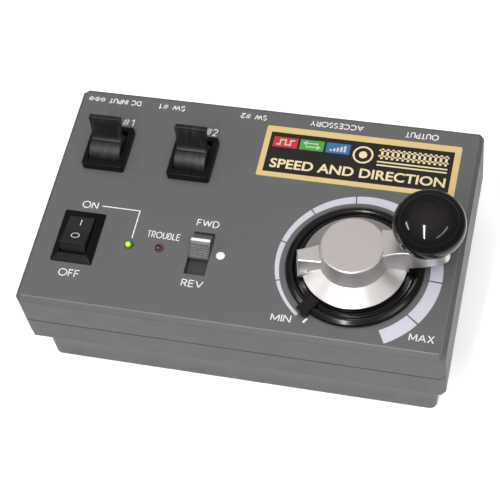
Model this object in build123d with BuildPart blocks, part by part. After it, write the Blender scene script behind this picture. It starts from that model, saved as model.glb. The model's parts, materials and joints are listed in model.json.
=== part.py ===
import os
from math import asin, cos, pi, radians, sin, tan

from build123d import *

os.makedirs("parts", exist_ok=True)

# Train set controller.  Millimetres, +Z up, +X to the right, +Y to the rear.
# Origin: the middle of the case plan, on the surface that the feet stand on.

# ---------------------------------------------------------------- case
case_w = 150.0          # width, left to right
case_d = 92.0           # depth, front to rear
corner_c = 1.7          # flats across the plan corners of both halves
plinth_r = 2.6          # plan corners of the plinth
cavity_r = 1.2          # plan corners of the cavities
rim_chamfer = 1.8       # sloped rim around the control panel
wall = 2.2
panel_t = 2.2
floor_t = 2.2
foot_out = 0.6          # the feet stand below the plinth by this
case_h = 47.2           # plinth underside to control panel
upper_h = 14.8          # height of the upper half
band_h = 12.7           # height of the lower half's full-width band
plinth_in = 3.9         # the plinth steps in by this on all sides
seam_groove = (0.3, 0.8)     # height and depth of the shadow line under the seam

base_z = foot_out
top_z = base_z + case_h
panel_under_z = top_z - panel_t
seam_z = top_z - upper_h
band_z = seam_z - band_h
floor_z = base_z + floor_t
shelf_z = band_z + wall
rear_y = case_d / 2

column_xy = [(-63.5, -34.5), (63.5, -34.5), (-50.8, 34.8), (64.0, 34.8)]
column_r = 4.2
column_top_z = 24.0
boss_gap = 0.2
boss_r = 3.4
screw_r = 1.25          # case screw shank
screw_head_r = 2.8
screw_head_h = 2.2
head_seat_z = 20.8

foot_xy = [(-60.0, -21.0), (60.0, -21.0), (-60.0, 21.0), (60.0, 21.0)]
foot_r = 5.0
foot_t = 1.4

# ---------------------------------------------------------------- boards
board_t = 1.6
control_top_z = top_z - 11.5
control_under_z = control_top_z - board_t
control_x = (-46.0, 58.5)
control_y = (-37.0, 5.0)
control_screw_xy = [(-43.0, -34.0), (55.0, -34.0), (-43.0, 2.0), (55.0, 2.0)]
control_boss_r = 2.6
small_screw_r = 0.95

main_under_z = shelf_z
main_top_z = main_under_z + board_t
main_w = 2 * 71.4
main_y = (-29.8, 43.2)
post_xy = [(-50.0, -22.0), (50.0, -22.0), (-50.0, 22.0), (50.0, 22.0)]
post_r = 3.2

# ---------------------------------------------------------------- base weight
weight_size = (82.0, 54.0, 5.0)
weight_screw_xy = [(-34.0, -20.0), (34.0, -20.0), (-34.0, 20.0), (34.0, 20.0)]

# ---------------------------------------------------------------- power rocker
rocker_x, rocker_y = -58.8, -18.8
rocker_bezel = (15.0, 20.8)
rocker_bezel_h = 1.9
rocker_bezel_edge = 0.6
rocker_open = (9.9, 15.1)
rocker_w = 9.3
rocker_pivot_z = top_z - 1.2
rocker_tilt = 11.0      # the ON end is down by this
rocker_half = 7.05      # half length at the frame
rocker_top_half = 6.15
rocker_mid_h = 4.5      # crown above the pivot at mid length
rocker_end_h = 5.05     # crown above the pivot at each end
rocker_body_bottom = top_z - 15.0

# ---------------------------------------------------------------- turnout lever switches
lever_centres = [(-57.8, 19.2), (-26.0, 19.2)]
lever_bezel = (15.5, 18.0)
lever_bezel_h = 3.2
lever_open = (12.1, 13.4)
lever_body = (13.8, 16.0)
lever_body_bottom = top_z - 19.5
drum_r = 5.9
drum_w = 11.7
lever_lean = 16.5       # the paddle leans to the rear by this
paddle_w = 11.8
paddle_waist = 10.7
paddle_t = 2.0
paddle_top = 15.6       # tip above the pivot
rib_pitch, rib_count, rib_w = 0.66, 15, 0.32
rib_low, rib_high = 6.6, 13.6
trunnion_r = 1.3
running_gap = 0.06

# ---------------------------------------------------------------- direction slide switch
slide_x, slide_mid_y = -14.6, -18.65
slide_slot = (7.6, 17.3)
slide_travel = 6.4
slide_y = slide_mid_y + 3.5      # its index line, standing at FWD
slide_w = 7.2
slide_peak = 3.2
slide_flat = 0.65       # half width of the index flat
slide_front, slide_rear = 5.45, 3.2      # cap ends from the index line
slide_slope = 0.64

# ---------------------------------------------------------------- LEDs
led_r = 1.5
led_xy = {"green_led": (-40.1, -19.0), "red_led": (-29.2, -18.8)}
led_dome_top = 1.7      # above the panel

# ---------------------------------------------------------------- speed knob
knob_x, knob_y = 39.5, -15.8
arm_angle = 13.8        # the lever arm, from +X
pointer_angle = 236.0
shaft_r = 3.0
dish_r = 23.8
skirt_r = 18.1
hub_r = 11.0
hub_foot_r = 12.0
hub_top = 14.2          # above the panel
hub_foot = 6.3
skirt_edge = 2.6
arm_tip = 31.9
ball_reach = 25.5
ball_r = 12.15
ball_half_h = 9.7
ball_mid = hub_top + 9.1

# ---------------------------------------------------------------- rear sockets
socket_h = 8.4
socket_face_y = rear_y - 0.5
dc_x = -61.3
turnout_socket_x = [-39.6, -8.6]
accessory_x = 22.3
output_x = 53.1

rear_panel_x = -3.0
rear_panel_w = 129.0
rear_panel_t = 2.0
rear_panel_y = rear_y - 0.4
rear_panel_bottom_z = seam_z - 10.0
rear_panel_top_z = seam_z + 1.2

# ---------------------------------------------------------------- nameplate
plate_size = (70.7, 21.8, 0.25)
plate_xy = (32.95, 27.25)


def save(piece, name):
    piece.part.label = name
    export_step(piece.part, f"parts/{name}.step")


knob_axis = Plane((knob_x, knob_y, top_z))
arm_frame = Plane((knob_x, knob_y, top_z), x_dir=(cos(radians(arm_angle)), sin(radians(arm_angle)), 0))
pointer_frame = Plane(
    (knob_x, knob_y, top_z), x_dir=(cos(radians(pointer_angle)), sin(radians(pointer_angle)), 0)
)

# ================================================================ case halves
with BuildPart() as upper_case:
    with BuildSketch(Plane.XY.offset(seam_z)) as band_plan:
        Rectangle(case_w, case_d)
        chamfer(band_plan.vertices(), length=corner_c)
    extrude(amount=upper_h)
    chamfer(upper_case.faces().sort_by(Axis.Z)[-1].edges(), length=rim_chamfer)
    rim_edges = upper_case.edges().filter_by_position(
        Axis.Z, top_z - rim_chamfer - 0.01, top_z + 0.01
    ).filter_by(lambda e: abs(e.bounding_box().size.Z) < 0.01)
    fillet(rim_edges, radius=0.3)
    with BuildSketch(Plane.XY.offset(seam_z)):
        RectangleRounded(case_w - 2 * wall, case_d - 2 * wall, cavity_r)
    extrude(amount=panel_under_z - seam_z, mode=Mode.SUBTRACT)
    # long bosses that meet the lower half's screw columns
    with BuildSketch(Plane.XY.offset(column_top_z + boss_gap)):
        with Locations(*column_xy):
            Circle(boss_r)
    extrude(amount=panel_under_z - column_top_z - boss_gap)
    with BuildSketch(Plane.XY.offset(column_top_z + boss_gap)):
        with Locations(*column_xy):
            Circle(screw_r + 0.03)
    extrude(amount=14.0, mode=Mode.SUBTRACT)
    # bosses that hold the control board
    with BuildSketch(Plane.XY.offset(control_top_z)):
        with Locations(*control_screw_xy):
            Circle(control_boss_r)
    extrude(amount=panel_under_z - control_top_z)
    with BuildSketch(Plane.XY.offset(control_top_z)):
        with Locations(*control_screw_xy):
            Circle(small_screw_r + 0.03)
    extrude(amount=7.0, mode=Mode.SUBTRACT)
    # openings in the panel
    with BuildSketch(Plane.XY.offset(panel_under_z - 1)):
        with Locations((rocker_x, rocker_y)):
            Rectangle(13.2, 19.2)
        with Locations(*lever_centres):
            Rectangle(lever_body[0] + 0.2, lever_body[1] + 0.2)
        with Locations((slide_x, slide_mid_y)):
            RectangleRounded(*slide_slot, 0.5)
        with Locations(*led_xy.values()):
            Circle(led_r + 0.08)
        with Locations((knob_x, knob_y)):
            Circle(4.6)
    extrude(amount=panel_t + 2, mode=Mode.SUBTRACT)
    # notch over the rear socket panel
    with BuildSketch(Plane.XY.offset(seam_z)):
        with Locations((rear_panel_x, rear_y)):
            Rectangle(rear_panel_w + 0.3, 2 * wall + 1)
    extrude(amount=rear_panel_top_z + 0.15 - seam_z, mode=Mode.SUBTRACT)
save(upper_case, "upper_case")

socket_windows = [
    (dc_x, 9.0),
    (turnout_socket_x[0], 11.0),
    (turnout_socket_x[1], 11.0),
    (accessory_x, 11.0),
    (output_x, 13.0),
]

with BuildPart() as lower_case:
    with BuildSketch(Plane.XY.offset(band_z)) as band_plan:
        Rectangle(case_w, case_d)
        chamfer(band_plan.vertices(), length=corner_c)
    extrude(amount=band_h)
    with BuildSketch(Plane.XY.offset(base_z)):
        RectangleRounded(case_w - 2 * plinth_in, case_d - 2 * plinth_in, plinth_r)
    extrude(amount=band_z - base_z)
    step_edges = lower_case.edges().group_by(Axis.Z)
    fillet(step_edges[0], radius=1.0)
    band_under = lower_case.faces().filter_by(Axis.Z).group_by(Axis.Z)[1][0]
    fillet(band_under.outer_wire().edges(), radius=1.1)
    band_under = lower_case.faces().filter_by(Axis.Z).group_by(Axis.Z)[1][0]
    fillet(band_under.inner_wires()[0].edges(), radius=1.6)
    with BuildSketch(Plane.XY.offset(seam_z)) as groove_plan:
        Rectangle(case_w + 2, case_d + 2)
        Rectangle(case_w - 2 * seam_groove[1], case_d - 2 * seam_groove[1], mode=Mode.SUBTRACT)
    extrude(amount=-seam_groove[0], mode=Mode.SUBTRACT)
    with BuildSketch(Plane.XY.offset(shelf_z)):
        RectangleRounded(case_w - 2 * wall, case_d - 2 * wall, cavity_r)
    extrude(amount=seam_z - shelf_z, mode=Mode.SUBTRACT)
    with BuildSketch(Plane.XY.offset(floor_z)):
        RectangleRounded(case_w - 2 * plinth_in - 2 * wall, case_d - 2 * plinth_in - 2 * wall, cavity_r)
    extrude(amount=shelf_z - floor_z, mode=Mode.SUBTRACT)
    # alignment tongues along the front and both sides
    tongue_in = case_w / 2 - wall
    tongue_front = case_d / 2 - wall
    with BuildSketch(Plane.XY.offset(seam_z - 3)):
        with Locations((0, -tongue_front + 0.6)):
            Rectangle(100, 1.2)
        with Locations((-tongue_in + 0.6, 0), (tongue_in - 0.6, 0)):
            Rectangle(1.2, 44)
    extrude(amount=3)
    with BuildSketch(Plane.XY.offset(seam_z)):
        with Locations((0, -tongue_front + 0.7)):
            Rectangle(100, 1.0)
        with Locations((-tongue_in + 0.7, 0), (tongue_in - 0.7, 0)):
            Rectangle(1.0, 44)
    extrude(amount=1.4)
    # screw columns and posts for the main board
    with BuildSketch(Plane.XY.offset(base_z + 1)):
        with Locations(*column_xy):
            Circle(column_r)
    extrude(amount=column_top_z - base_z - 1)
    with BuildSketch(Plane.XY.offset(floor_z - 0.5)):
        with Locations(*post_xy):
            Circle(post_r)
    extrude(amount=main_under_z - floor_z + 0.5)
    with BuildSketch(Plane.XY.offset(main_under_z)):
        with Locations(*post_xy):
            Circle(small_screw_r + 0.03)
    extrude(amount=-8.0, mode=Mode.SUBTRACT)
    with BuildSketch(Plane.XY.offset(base_z)):
        with Locations(*column_xy):
            Circle(screw_head_r + 0.4)
    extrude(amount=head_seat_z - base_z, mode=Mode.SUBTRACT)
    with BuildSketch(Plane.XY.offset(head_seat_z - 1)):
        with Locations(*column_xy):
            Circle(screw_r + 0.3)
    extrude(amount=6, mode=Mode.SUBTRACT)
    # bosses for the base weight
    with BuildSketch(Plane.XY.offset(floor_z - 0.5)):
        with Locations(*weight_screw_xy):
            Circle(2.5)
    extrude(amount=weight_size[2] + 0.3)
    with BuildSketch(Plane.XY.offset(floor_z + 0.6)):
        with Locations(*weight_screw_xy):
            Circle(1.33)
    extrude(amount=weight_size[2], mode=Mode.SUBTRACT)
    # seats for the feet and the rating label
    with BuildSketch(Plane.XY.offset(base_z)):
        with Locations(*foot_xy):
            Circle(foot_r + 0.15)
        RectangleRounded(64.4, 30.4, 1.2)
    extrude(amount=0.8, mode=Mode.SUBTRACT)
    with BuildSketch(Plane.XY.offset(base_z + 0.3)):
        RectangleRounded(64.4, 30.4, 1.2)
    extrude(amount=0.5)
    # notch under the rear socket panel
    with BuildSketch(Plane.XY.offset(rear_panel_bottom_z - 0.15)):
        with Locations((rear_panel_x, rear_y)):
            Rectangle(rear_panel_w + 0.3, 2 * wall + 1)
    extrude(amount=band_h, mode=Mode.SUBTRACT)
save(lower_case, "lower_case")

with BuildPart() as rear_panel:
    with BuildSketch(Plane.XZ.offset(-rear_panel_y)):
        with Locations((rear_panel_x, (rear_panel_bottom_z + rear_panel_top_z) / 2)):
            Rectangle(rear_panel_w, rear_panel_top_z - rear_panel_bottom_z)
    extrude(amount=rear_panel_t)
    chamfer(rear_panel.faces().sort_by(Axis.Y)[-1].edges(), length=0.25)
    # ears that hook behind the case wall
    with BuildSketch(Plane.XZ.offset(-rear_panel_y + rear_panel_t)):
        with Locations((rear_panel_x, (rear_panel_bottom_z + rear_panel_top_z) / 2 + 0.7)):
            with GridLocations(rear_panel_w - 1.0, 0, 2, 1):
                Rectangle(4.0, 8.0)
    extrude(amount=1.4)
    with BuildSketch(Plane.XZ.offset(-rear_y - 1)):
        for window_x, window_w in socket_windows:
            with Locations((window_x, main_top_z + socket_h / 2)):
                Rectangle(window_w + 0.3, socket_h + 0.3)
    extrude(amount=5, mode=Mode.SUBTRACT)
save(rear_panel, "rear_panel")

# ================================================================ case fittings
with BuildPart() as case_screws:
    with BuildSketch(Plane.XY.offset(head_seat_z - screw_head_h)):
        with Locations(*column_xy):
            Circle(screw_head_r)
    extrude(amount=screw_head_h)
    fillet(case_screws.faces().sort_by(Axis.Z)[0:4].edges(), radius=0.7)
    with BuildSketch(Plane.XY.offset(head_seat_z)):
        with Locations(*column_xy):
            Circle(screw_r)
    extrude(amount=13.0)
    with BuildSketch(Plane.XY.offset(head_seat_z - screw_head_h)):
        with Locations(*column_xy):
            Rectangle(3.2, 0.8)
            Rectangle(0.8, 3.2)
    extrude(amount=1.2, mode=Mode.SUBTRACT)
save(case_screws, "case_screws")

with BuildPart() as rubber_feet:
    with BuildSketch(Plane.XY):
        with Locations(*foot_xy):
            Circle(foot_r)
    extrude(amount=foot_t)
    fillet(rubber_feet.faces().sort_by(Axis.Z)[0:4].edges(), radius=0.4)
save(rubber_feet, "rubber_feet")

with BuildPart() as rating_label:
    with BuildSketch(Plane.XY.offset(base_z + 0.12)):
        RectangleRounded(64.0, 30.0, 1.0)
    extrude(amount=0.18)
save(rating_label, "rating_label")

with BuildPart() as nameplate:
    with BuildSketch(Plane.XY.offset(top_z)):
        with Locations(plate_xy):
            RectangleRounded(plate_size[0], plate_size[1], 0.6)
    extrude(amount=plate_size[2])
save(nameplate, "nameplate")

with BuildPart() as base_weight:
    with BuildSketch(Plane.XY.offset(floor_z)):
        RectangleRounded(weight_size[0], weight_size[1], 3)
        with Locations(*weight_screw_xy):
            Circle(2.7, mode=Mode.SUBTRACT)
    extrude(amount=weight_size[2])
save(base_weight, "base_weight")

with BuildPart() as weight_screws:
    with BuildSketch(Plane.XY.offset(floor_z + weight_size[2])):
        with Locations(*weight_screw_xy):
            Circle(4.2)
    extrude(amount=1.9)
    fillet(weight_screws.faces().sort_by(Axis.Z)[-4:].edges(), radius=0.6)
    with BuildSketch(Plane.XY.offset(floor_z + 0.8)):
        with Locations(*weight_screw_xy):
            Circle(1.3)
    extrude(amount=weight_size[2] - 0.8)
    with BuildSketch(Plane.XY.offset(floor_z + weight_size[2] + 1.9)):
        with Locations(*weight_screw_xy):
            Rectangle(3.6, 0.9)
            Rectangle(0.9, 3.6)
    extrude(amount=-1.1, mode=Mode.SUBTRACT)
save(weight_screws, "weight_screws")

# ================================================================ boards
with BuildPart() as control_board:
    with BuildSketch(Plane.XY.offset(control_under_z)):
        with Locations(((control_x[0] + control_x[1]) / 2, (control_y[0] + control_y[1]) / 2)):
            RectangleRounded(control_x[1] - control_x[0], control_y[1] - control_y[0], 1.5)
        with Locations(*control_screw_xy):
            Circle(small_screw_r + 0.25, mode=Mode.SUBTRACT)
    extrude(amount=board_t)
save(control_board, "control_board")

with BuildPart() as main_board:
    with BuildSketch(Plane.XY.offset(main_under_z)):
        with Locations((0, (main_y[0] + main_y[1]) / 2)):
            RectangleRounded(main_w, main_y[1] - main_y[0], 1.5)
        with Locations(*column_xy[2:]):
            Circle(column_r + 0.5, mode=Mode.SUBTRACT)
        with Locations(*post_xy):
            Circle(small_screw_r + 0.25, mode=Mode.SUBTRACT)
    extrude(amount=board_t)
save(main_board, "main_board")

with BuildPart() as control_board_screws:
    with BuildSketch(Plane.XY.offset(control_under_z - 1.5)):
        with Locations(*control_screw_xy):
            Circle(1.9)
    extrude(amount=1.5)
    fillet(control_board_screws.faces().sort_by(Axis.Z)[0:4].edges(), radius=0.5)
    with BuildSketch(Plane.XY.offset(control_under_z)):
        with Locations(*control_screw_xy):
            Circle(small_screw_r)
    extrude(amount=board_t + 5.5)
    with BuildSketch(Plane.XY.offset(control_under_z - 1.5)):
        with Locations(*control_screw_xy):
            Rectangle(2.2, 0.5)
            Rectangle(0.5, 2.2)
    extrude(amount=0.8, mode=Mode.SUBTRACT)
save(control_board_screws, "control_board_screws")

with BuildPart() as main_board_screws:
    with BuildSketch(Plane.XY.offset(main_top_z)):
        with Locations(*post_xy):
            Circle(1.9)
    extrude(amount=1.5)
    fillet(main_board_screws.faces().sort_by(Axis.Z)[-4:].edges(), radius=0.5)
    with BuildSketch(Plane.XY.offset(main_top_z)):
        with Locations(*post_xy):
            Circle(small_screw_r)
    extrude(amount=-board_t - 6.0)
    with BuildSketch(Plane.XY.offset(main_top_z + 1.5)):
        with Locations(*post_xy):
            Rectangle(2.2, 0.5)
            Rectangle(0.5, 2.2)
    extrude(amount=-0.8, mode=Mode.SUBTRACT)
save(main_board_screws, "main_board_screws")

# the boards plug together through a ten-way socket and header
link_x, link_y, link_pitch, link_ways = 4.0, 0.0, 2.54, 10
link_top_z = main_top_z + 8.4

with BuildPart() as link_socket:
    with BuildSketch(Plane.XY.offset(main_top_z)):
        with Locations((link_x, link_y)):
            Rectangle(link_pitch * link_ways + 0.4, 2.6)
    extrude(amount=link_top_z - main_top_z)
    with BuildSketch(Plane.XY.offset(link_top_z)):
        with Locations((link_x, link_y)):
            with GridLocations(link_pitch, 0, link_ways, 1):
                Rectangle(0.9, 0.9)
    extrude(amount=-7.0, mode=Mode.SUBTRACT)
save(link_socket, "link_socket")

with BuildPart() as link_header:
    with BuildSketch(Plane.XY.offset(link_top_z)):
        with Locations((link_x, link_y)):
            Rectangle(link_pitch * link_ways, 2.5)
    extrude(amount=control_under_z - link_top_z)
    with BuildSketch(Plane.XY.offset(link_top_z)):
        with Locations((link_x, link_y)):
            with GridLocations(link_pitch, 0, link_ways, 1):
                Rectangle(0.64, 0.64)
    extrude(amount=-6.0)
save(link_header, "link_header")

# ================================================================ power rocker
rocker_plane = Plane.YZ.offset(rocker_x)

with BuildPart() as power_switch_housing:
    with BuildSketch(Plane.XY.offset(top_z)):
        with Locations((rocker_x, rocker_y)):
            RectangleRounded(*rocker_bezel, 0.4)
    extrude(amount=rocker_bezel_edge)
    # mitred frame that rises from its outer edge to the rocker
    with BuildSketch(Plane.XY.offset(top_z + rocker_bezel_edge)):
        with Locations((rocker_x, rocker_y)):
            RectangleRounded(*rocker_bezel, 0.4)
    with BuildSketch(Plane.XY.offset(top_z + rocker_bezel_h)):
        with Locations((rocker_x, rocker_y)):
            RectangleRounded(rocker_open[0] + 0.7, rocker_open[1] + 0.7, 0.3)
    loft()
    with BuildSketch(Plane.XY.offset(top_z)):
        with Locations((rocker_x, rocker_y)):
            Rectangle(12.9, 18.8)
    extrude(amount=rocker_body_bottom - top_z)
    with BuildSketch(Plane.XY.offset(top_z + rocker_bezel_h)):
        with Locations((rocker_x, rocker_y)):
            Rectangle(*rocker_open)
    extrude(amount=-rocker_bezel_h - 9.0, mode=Mode.SUBTRACT)
    with BuildSketch(Plane.YZ.offset(rocker_x - rocker_open[0] / 2 - 1)):
        with Locations((rocker_y, rocker_pivot_z)):
            Circle(1.0 + running_gap)
    extrude(amount=rocker_open[0] + 2, mode=Mode.SUBTRACT)
save(power_switch_housing, "power_switch_housing")

rocker_frame = Plane(
    (rocker_x, rocker_y, rocker_pivot_z),
    x_dir=(0, cos(radians(-rocker_tilt)), sin(radians(-rocker_tilt))),
    z_dir=(1, 0, 0),
)

with BuildPart() as power_rocker:
    with BuildSketch(rocker_frame) as rocker_side:
        with BuildLine():
            Polyline(
                (-rocker_half, 0.2),
                (-rocker_half, 1.6),
                (-rocker_top_half, rocker_end_h),
                (0, rocker_mid_h),
                (rocker_top_half, rocker_end_h),
                (rocker_half, 1.6),
                (rocker_half, 0.2),
                (2.6, -3.4),
                (-2.6, -3.4),
                close=True,
            )
        make_face()
        crown_corners = rocker_side.vertices().filter_by_position(Axis.Z, rocker_pivot_z + 2, top_z + 9)
        fillet(crown_corners, radius=0.5)
    extrude(amount=rocker_w / 2, both=True)
    side_edges = power_rocker.faces().filter_by(Axis.X).edges()
    fillet(side_edges, radius=0.35)
    with BuildSketch(Plane.YZ.offset(rocker_x)):
        with Locations((rocker_y, rocker_pivot_z)):
            Circle(1.0)
    extrude(amount=rocker_open[0] / 2 + 0.8, both=True)
save(power_rocker, "power_rocker")

rocker_contact_y = [rocker_y - 4.2, rocker_y + 4.2]

with BuildPart() as power_switch_terminals:
    with BuildSketch(Plane.XY.offset(rocker_body_bottom + 0.0)):
        for contact_y in rocker_contact_y:
            with Locations((rocker_x, contact_y)):
                Rectangle(4.8, 0.8)
    extrude(amount=-6.0)
    with BuildSketch(Plane.XZ.offset(-rocker_y - 10)):
        with Locations((rocker_x, rocker_body_bottom - 4.0)):
            Circle(0.8)
    extrude(amount=20, mode=Mode.SUBTRACT)
save(power_switch_terminals, "power_switch_terminals")

with BuildPart() as power_leads:
    with BuildSketch(Plane.XY.offset(main_top_z)):
        for contact_y in rocker_contact_y:
            with Locations((rocker_x, contact_y)):
                Circle(0.85)
    extrude(amount=rocker_body_bottom - 6.0 - main_top_z)
save(power_leads, "power_leads")

# ================================================================ turnout lever switches
for number, (lever_x, lever_y) in enumerate(lever_centres, start=1):
    with BuildPart() as lever_housing:
        with BuildSketch(Plane.XY.offset(top_z)):
            with Locations((lever_x, lever_y)):
                RectangleRounded(*lever_bezel, 0.9)
        extrude(amount=lever_bezel_h)
        fillet(lever_housing.faces().sort_by(Axis.Z)[-1].edges(), radius=0.45)
        with BuildSketch(Plane.XY.offset(top_z)):
            with Locations((lever_x, lever_y)):
                Rectangle(*lever_body)
        extrude(amount=lever_body_bottom - top_z)
        with BuildSketch(Plane.XY.offset(top_z - 0.2)):
            with Locations((lever_x, lever_y + 0.2)):
                RectangleRounded(*lever_open, 0.4)
        extrude(amount=lever_bezel_h + 1, mode=Mode.SUBTRACT)
        with BuildSketch(Plane.YZ.offset(lever_x)):
            with Locations((lever_y, top_z)):
                Circle(drum_r + 0.4)
        extrude(amount=lever_open[0] / 2, both=True, mode=Mode.SUBTRACT)
        with BuildSketch(Plane.YZ.offset(lever_x)):
            with Locations((lever_y, top_z)):
                Circle(trunnion_r + running_gap)
        extrude(amount=lever_open[0] / 2 + 0.8, both=True, mode=Mode.SUBTRACT)
    save(lever_housing, f"turnout_switch_{number}")

    lever_plane = Plane(
        (lever_x, lever_y, top_z),
        x_dir=(1, 0, 0),
        z_dir=(0, -cos(radians(lever_lean)), sin(radians(lever_lean))),
    )
    with BuildPart() as turnout_lever:
        with BuildSketch(Plane.YZ.offset(lever_x)):
            with Locations((lever_y, top_z)):
                Circle(drum_r)
        extrude(amount=drum_w / 2, both=True)
        fillet(turnout_lever.edges().filter_by(GeomType.CIRCLE), radius=0.4)
        # paddle outline, seen from the front along the lever's own plane
        with BuildSketch(lever_plane):
            with BuildLine():
                Line((-paddle_waist / 2, 2.0), (paddle_waist / 2, 2.0))
                Spline(
                    (paddle_waist / 2, 2.0),
                    (paddle_waist / 2, 7.0),
                    (paddle_waist / 2 + 0.12, 10.5),
                    (paddle_w / 2, paddle_top - 0.3),
                )
                Line((paddle_w / 2, paddle_top - 0.3), (-paddle_w / 2, paddle_top - 0.3))
                Spline(
                    (-paddle_w / 2, paddle_top - 0.3),
                    (-paddle_waist / 2 - 0.12, 10.5),
                    (-paddle_waist / 2, 7.0),
                    (-paddle_waist / 2, 2.0),
                )
            make_face()
        extrude(amount=2.6, both=True)
        # side profile: a thick root that thins to the tip, hollowed front and rear
        with BuildSketch(Plane(lever_plane.origin - Vector(10, 0, 0), x_dir=-lever_plane.z_dir, z_dir=(1, 0, 0))):
            for side in (-1, 1):
                with BuildLine():
                    Polyline((side * 1.0, 16.5), (side * 1.0, 12.0))
                    Spline((side * 1.0, 12.0), (side * 1.05, 9.0), (side * 1.9, 5.75), tangents=[(0, -1), (side * 0.8, -0.6)])
                    Polyline((side * 1.9, 5.75), (side * 7.0, 5.75), (side * 7.0, 16.5), (side * 1.0, 16.5))
                make_face()
        extrude(amount=20, mode=Mode.SUBTRACT)
        tip_edges = turnout_lever.faces().sort_by(Axis.Z)[-1].edges()
        fillet(tip_edges, radius=0.3)
        # fine upright ribs on both faces, following their hollow
        with BuildPart() as ribs:
            with BuildSketch(Plane(lever_plane.origin, x_dir=-lever_plane.z_dir, z_dir=(1, 0, 0))):
                with BuildLine():
                    Polyline((1.15, rib_high), (-1.15, rib_high), (-1.15, 12.0))
                    Spline((-1.15, 12.0), (-1.2, 9.0), (-1.75, rib_low), tangents=[(0, -1), (-0.7, -0.7)])
                    Line((-1.75, rib_low), (1.75, rib_low))
                    Spline((1.75, rib_low), (1.2, 9.0), (1.15, 12.0), tangents=[(-0.7, 0.7), (0, 1)])
                    Line((1.15, 12.0), (1.15, rib_high))
                make_face()
            extrude(amount=paddle_waist / 2, both=True)
            with BuildSketch(lever_plane):
                with Locations((0, 10)):
                    with GridLocations(rib_pitch, 0, rib_count, 1):
                        Rectangle(rib_w, 12)
            extrude(amount=3.0, both=True, mode=Mode.INTERSECT)
        add(ribs.part)
        with BuildSketch(Plane.YZ.offset(lever_x)):
            with Locations((lever_y, top_z)):
                Circle(trunnion_r)
        extrude(amount=lever_open[0] / 2 + 0.65, both=True)
    save(turnout_lever, f"turnout_lever_{number}")

with BuildPart() as turnout_switch_terminals:
    with BuildSketch(Plane.XY.offset(main_top_z)):
        with Locations(*lever_centres):
            with GridLocations(4.7, 4.8, 3, 2):
                Rectangle(1.0, 0.5)
    extrude(amount=lever_body_bottom - main_top_z)
save(turnout_switch_terminals, "turnout_switch_terminals")

# ================================================================ direction slide switch
slide_flange_z = panel_under_z - 0.3
slide_body_top = control_top_z + 5.0

with BuildPart() as slide_knob:
    with BuildSketch(Plane.XY.offset(slide_flange_z)):
        with Locations((slide_x, slide_y)):
            Rectangle(9.4, 25.4)
    extrude(amount=-1.0)
    # ribbed cap that falls away on both sides of its peak
    with BuildSketch(Plane.YZ.offset(slide_x)):
        with BuildLine():
            Polyline(
                (slide_y - slide_front, slide_flange_z),
                (slide_y - slide_front, top_z + slide_peak - slide_slope * (slide_front - slide_flat)),
                (slide_y - slide_flat, top_z + slide_peak),
                (slide_y + slide_flat, top_z + slide_peak),
                (slide_y + slide_rear, top_z + slide_peak - slide_slope * (slide_rear - slide_flat)),
                (slide_y + slide_rear, slide_flange_z),
                close=True,
            )
        make_face()
    extrude(amount=slide_w / 2, both=True)
    cap_sides = slide_knob.edges().filter_by_position(
        Axis.Z, top_z + 0.0, top_z + slide_peak + 0.1
    ).filter_by(lambda e: abs(abs((e @ 0.5).X - slide_x) - slide_w / 2) < 0.01)
    fillet(cap_sides, radius=0.3)
    # grip grooves across the front slope, the first one wider
    with BuildSketch(Plane.YZ.offset(slide_x)):
        for step in range(8):
            groove_y = 1.65 + 0.5 * step
            with Locations((slide_y - groove_y, top_z + slide_peak - slide_slope * (groove_y - slide_flat))):
                Rectangle(0.34 if step == 0 else 0.22, 0.44)
    extrude(amount=slide_w / 2 + 1, both=True, mode=Mode.SUBTRACT)
    with BuildSketch(Plane.XY.offset(slide_flange_z - 1.0)):
        with Locations((slide_x, slide_y)):
            Rectangle(2.6, 3.0)
    extrude(amount=-5.3)
save(slide_knob, "slide_knob")

with BuildPart() as slide_switch_body:
    with BuildSketch(Plane.XY.offset(control_top_z)):
        with Locations((slide_x, slide_mid_y)):
            Rectangle(7.6, 20.0)
    extrude(amount=slide_body_top - 0.4 - control_top_z)
    with BuildSketch(Plane.XY.offset(slide_body_top - 0.4)):
        with Locations((slide_x, slide_mid_y)):
            Rectangle(3.4, 11.2)
    extrude(amount=-2.6, mode=Mode.SUBTRACT)
save(slide_switch_body, "slide_switch_body")

with BuildPart() as slide_switch_frame:
    with BuildSketch(Plane.XY.offset(slide_body_top - 0.4)):
        with Locations((slide_x, slide_mid_y)):
            RectangleRounded(8.2, 21.0, 0.8)
            Rectangle(3.6, 11.4, mode=Mode.SUBTRACT)
    extrude(amount=0.4)
    with BuildSketch(Plane.XY.offset(slide_body_top - 0.4)):
        with Locations((slide_x, slide_mid_y)):
            with GridLocations(7.9, 14, 2, 2):
                Rectangle(0.3, 2.4)
    extrude(amount=-(slide_body_top - 0.4 - control_top_z))
save(slide_switch_frame, "slide_switch_frame")

# ================================================================ LEDs
for led_name, (led_x, led_y) in led_xy.items():
    with BuildPart() as led:
        with BuildSketch(Plane.XZ.offset(-led_y)):
            with BuildLine():
                dome_z = top_z + led_dome_top - led_r
                Polyline(
                    (led_x, top_z + led_dome_top),
                    (led_x, panel_under_z - 1.1),
                    (led_x + 1.9, panel_under_z - 1.1),
                    (led_x + 1.9, panel_under_z - 0.1),
                    (led_x + led_r, panel_under_z - 0.1),
                    (led_x + led_r, dome_z),
                )
                RadiusArc((led_x + led_r, dome_z), (led_x, top_z + led_dome_top), -led_r)
            make_face()
        revolve(axis=Axis((led_x, led_y, 0), (0, 0, 1)))
    save(led, led_name)

with BuildPart() as led_leads:
    with BuildSketch(Plane.XY.offset(control_top_z)):
        with Locations(*led_xy.values()):
            with GridLocations(1.8, 0, 2, 1):
                Rectangle(0.45, 0.45)
    extrude(amount=panel_under_z - 1.1 - control_top_z)
save(led_leads, "led_leads")

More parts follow.
